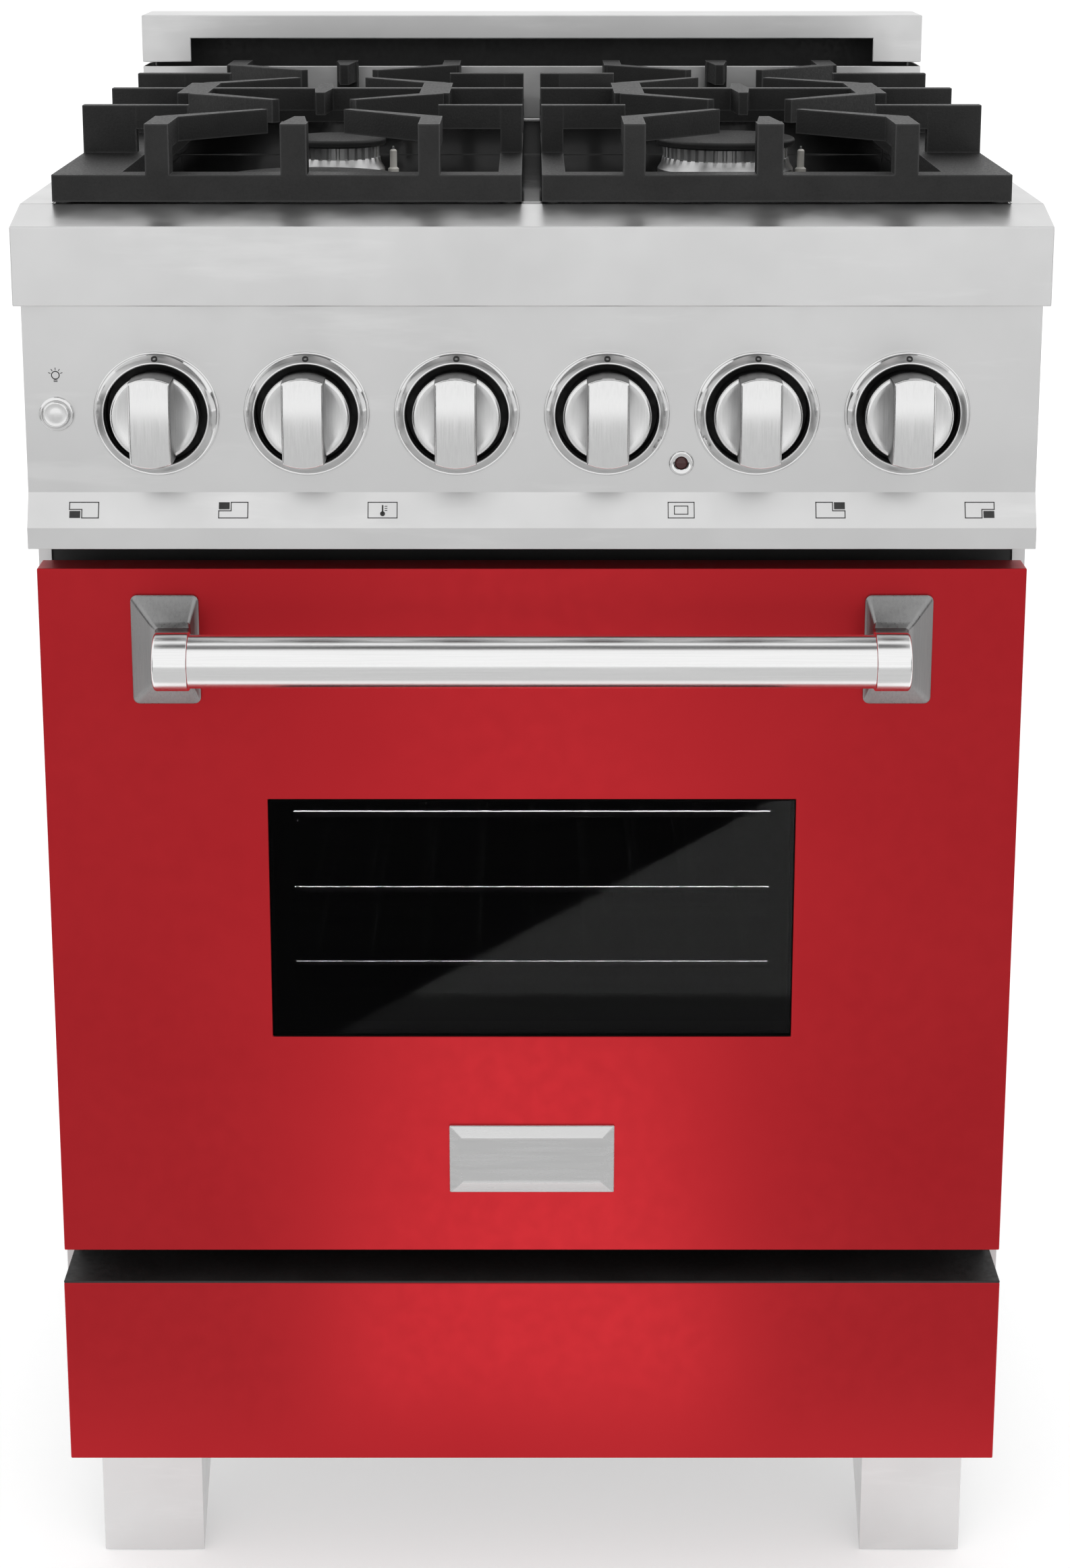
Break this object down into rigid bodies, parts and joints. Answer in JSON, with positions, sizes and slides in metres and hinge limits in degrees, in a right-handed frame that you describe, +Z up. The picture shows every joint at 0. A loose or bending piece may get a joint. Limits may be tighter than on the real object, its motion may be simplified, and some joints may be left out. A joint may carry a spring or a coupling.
{
  "type": "freestanding gas range",
  "caption": "Freestanding gas range: cast-iron grates and burners on a stainless cooktop, knob panel with polished rings, red drop-down oven door with bar handle, kick panel and legs.",
  "frame": {"origin": "on the floor, under the middle of the whole object's box", "axes": "+X to the right seen from the front, +Y from the front to the back, +Z up"},
  "size_m": [0.61, 0.705, 0.994],
  "materials": {
    "stainless": "satin",
    "galvanised": "matte",
    "red_paint": "satin",
    "black_paint": "matte",
    "black_enamel": "gloss",
    "oven_enamel": "gloss",
    "glass_wool": "matte",
    "gasket_braid": "matte",
    "bright_wire": "polished",
    "element_sheath": "matte",
    "bright_steel": "satin",
    "lamp_glass": "gloss",
    "burner_alloy": "satin",
    "cast_iron": "matte",
    "brass": "satin",
    "control_case": "satin",
    "polished_ring": "polished",
    "black_plastic": "matte",
    "knob_metal": "satin",
    "indicator_lens": "gloss",
    "dark_glass": "gloss",
    "clear_glass": "gloss",
    "handle_steel": "satin",
    "bracket_steel": "satin",
    "badge_plate": "satin",
    "foot_black": "satin"
  },
  "bodies": {
    "root": {"base_pan": "galvanised", "side_panel_left": "stainless", "side_panel_right": "stainless", "back_panel": "galvanised", "oven_liner": "oven_enamel", "oven_front_frame": "black_paint", "oven_insulation": "glass_wool", "door_gasket": "gasket_braid", "rack_guides": "bright_wire", "bake_element": "element_sheath", "broil_element": "element_sheath", "fan_cover": "black_enamel", "fan_motor": "galvanised", "oven_lamp": "lamp_glass", "cooktop_pan": "black_enamel", "side_rails": "stainless", "front_ledge": "stainless", "control_panel": "stainless", "backguard_riser": "stainless", "backguard_cap": "stainless", "burner_heads": "burner_alloy", "burner_caps": "cast_iron", "gas_pipework": "bright_steel", "gas_valves": "brass", "gas_inlet": "brass", "oven_controls": "control_case", "panel_bezels": "polished_ring", "knob_cups": "black_plastic", "indicator_lens": "indicator_lens", "kick_panel": "red_paint", "kick_flange": "black_paint", "leg_covers": "stainless", "feet": "foot_black", "cord_gland": "black_plastic"},
    "door": {"door_outer_panel": "red_paint", "door_inner_panel": "oven_enamel", "door_glass_outer": "dark_glass", "door_glass_inner": "clear_glass", "window_retainer": "black_paint", "handle_bar": "handle_steel", "handle_brackets": "bracket_steel", "door_hinges": "bright_steel", "badge": "badge_plate"},
    "rack_upper": {"rack_upper": "bright_wire"},
    "rack_middle": {"rack_middle": "bright_wire"},
    "rack_lower": {"rack_lower": "bright_wire"},
    "fan": {"fan_blade": "bright_steel"},
    "plug_front_left": {"plug_front_left": "brass"},
    "knob_front_left": {"knob_front_left": "knob_metal"},
    "plug_rear_left": {"plug_rear_left": "brass"},
    "knob_rear_left": {"knob_rear_left": "knob_metal"},
    "plug_rear_right": {"plug_rear_right": "brass"},
    "knob_rear_right": {"knob_rear_right": "knob_metal"},
    "plug_front_right": {"plug_front_right": "brass"},
    "knob_front_right": {"knob_front_right": "knob_metal"},
    "knob_oven_heat": {"knob_oven_heat": "knob_metal"},
    "knob_oven_mode": {"knob_oven_mode": "knob_metal"},
    "lamp_button": {"lamp_button": "knob_metal"},
    "grate_left": {"grate_left": "cast_iron"},
    "grate_right": {"grate_right": "cast_iron"}
  },
  "joints": [
    {"name": "door_hinge", "type": "hinge", "parent": "root", "child": "door", "pos_m": [0, -0.2615, 0.268], "axis": [1, 0, 0], "range_deg": [0, 90], "stiffness_Nm_per_rad": 12, "springref_deg": -20.05},
    {"name": "rack_upper_slide", "type": "slide", "parent": "root", "child": "rack_upper", "axis": [0, -1, 0], "range_m": [0, 0.22]},
    {"name": "rack_middle_slide", "type": "slide", "parent": "root", "child": "rack_middle", "axis": [0, -1, 0], "range_m": [0, 0.22]},
    {"name": "rack_lower_slide", "type": "slide", "parent": "root", "child": "rack_lower", "axis": [0, -1, 0], "range_m": [0, 0.22]},
    {"name": "fan_spin", "type": "hinge", "parent": "root", "child": "fan", "pos_m": [0, 0.1925, 0.47], "axis": [0, 1, 0], "continuous": true},
    {"name": "turn_front_left", "type": "hinge", "parent": "root", "child": "plug_front_left", "pos_m": [-0.2235, -0.2555, 0.792], "axis": [0, -1, 0], "range_deg": [0, 210]},
    {"name": "push_front_left", "type": "slide", "parent": "plug_front_left", "child": "knob_front_left", "axis": [0, 1, 0], "range_m": [0, 0.004], "stiffness_N_per_m": 400, "springref_m": -0.004},
    {"name": "turn_rear_left", "type": "hinge", "parent": "root", "child": "plug_rear_left", "pos_m": [-0.1341, -0.2555, 0.792], "axis": [0, -1, 0], "range_deg": [0, 210]},
    {"name": "push_rear_left", "type": "slide", "parent": "plug_rear_left", "child": "knob_rear_left", "axis": [0, 1, 0], "range_m": [0, 0.004], "stiffness_N_per_m": 400, "springref_m": -0.004},
    {"name": "turn_rear_right", "type": "hinge", "parent": "root", "child": "plug_rear_right", "pos_m": [0.1341, -0.2555, 0.792], "axis": [0, -1, 0], "range_deg": [0, 210]},
    {"name": "push_rear_right", "type": "slide", "parent": "plug_rear_right", "child": "knob_rear_right", "axis": [0, 1, 0], "range_m": [0, 0.004], "stiffness_N_per_m": 400, "springref_m": -0.004},
    {"name": "turn_front_right", "type": "hinge", "parent": "root", "child": "plug_front_right", "pos_m": [0.2235, -0.2555, 0.792], "axis": [0, -1, 0], "range_deg": [0, 210]},
    {"name": "push_front_right", "type": "slide", "parent": "plug_front_right", "child": "knob_front_right", "axis": [0, 1, 0], "range_m": [0, 0.004], "stiffness_N_per_m": 400, "springref_m": -0.004},
    {"name": "turn_oven_heat", "type": "hinge", "parent": "root", "child": "knob_oven_heat", "pos_m": [-0.0447, -0.2555, 0.792], "axis": [0, 1, 0], "range_deg": [0, 290]},
    {"name": "turn_oven_mode", "type": "hinge", "parent": "root", "child": "knob_oven_mode", "pos_m": [0.0447, -0.2555, 0.792], "axis": [0, 1, 0], "range_deg": [0, 315]},
    {"name": "lamp_press", "type": "slide", "parent": "root", "child": "lamp_button", "axis": [0, 1, 0], "range_m": [0, 0.003], "stiffness_N_per_m": 400, "springref_m": -0.004},
    {"name": "lift_grate_left", "type": "slide", "parent": "root", "child": "grate_left", "axis": [0, 0, 1], "range_m": [0, 0.12]},
    {"name": "lift_grate_right", "type": "slide", "parent": "root", "child": "grate_right", "axis": [0, 0, 1], "range_m": [0, 0.12]}
  ],
  "couplings": [
    {"joint": "rack_upper_slide", "follows": "door_hinge", "m_per_rad": 0.14},
    {"joint": "rack_middle_slide", "follows": "door_hinge", "m_per_rad": 0.14},
    {"joint": "rack_lower_slide", "follows": "door_hinge", "m_per_rad": 0.14}
  ]
}
